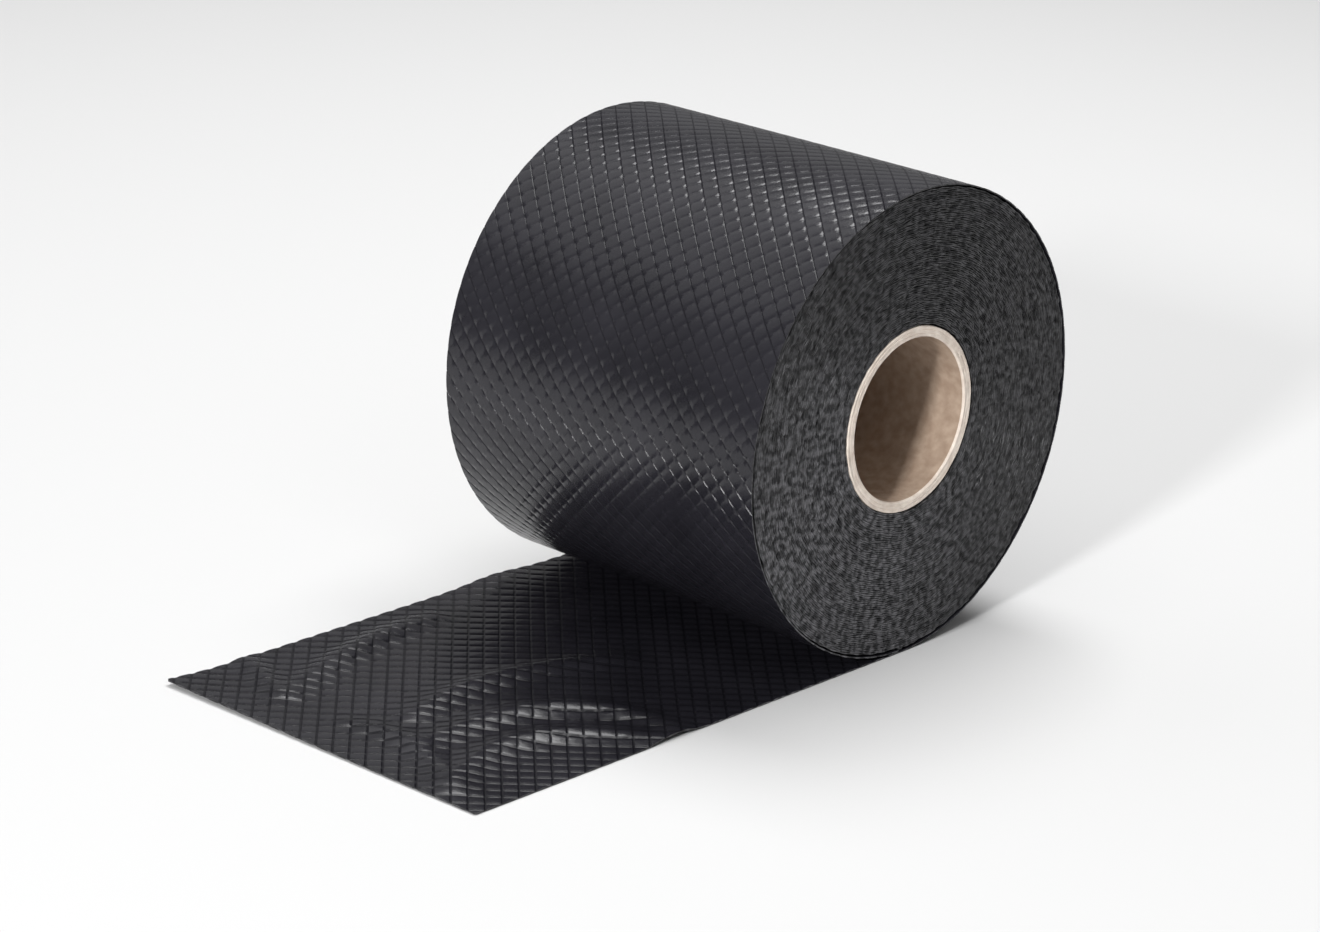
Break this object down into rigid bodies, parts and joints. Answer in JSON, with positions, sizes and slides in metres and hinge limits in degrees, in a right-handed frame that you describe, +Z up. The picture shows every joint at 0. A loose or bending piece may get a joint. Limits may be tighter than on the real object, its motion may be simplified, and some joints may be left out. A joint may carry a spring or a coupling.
{
  "type": "roll of damp proof course",
  "caption": "Roll of black embossed plastic damp proof course wound on a cardboard core, lying on its side with its loose end run out over the floor.",
  "frame": {"origin": "on the floor, straight under the roll's axis, halfway along its width", "axes": "+X along the roll's axis, towards the end that the picture shows; -Y the way the loose end runs out; +Z up"},
  "size_m": [0.15, 0.3076, 0.1757],
  "materials": {
    "black_plastic": "embossed polyethylene, semi-matt",
    "cardboard": "spirally wound, uncoated"
  },
  "bodies": {
    "root": {"dpc_sheet": "black_plastic", "core_tube": "cardboard"}
  },
  "joints": []
}
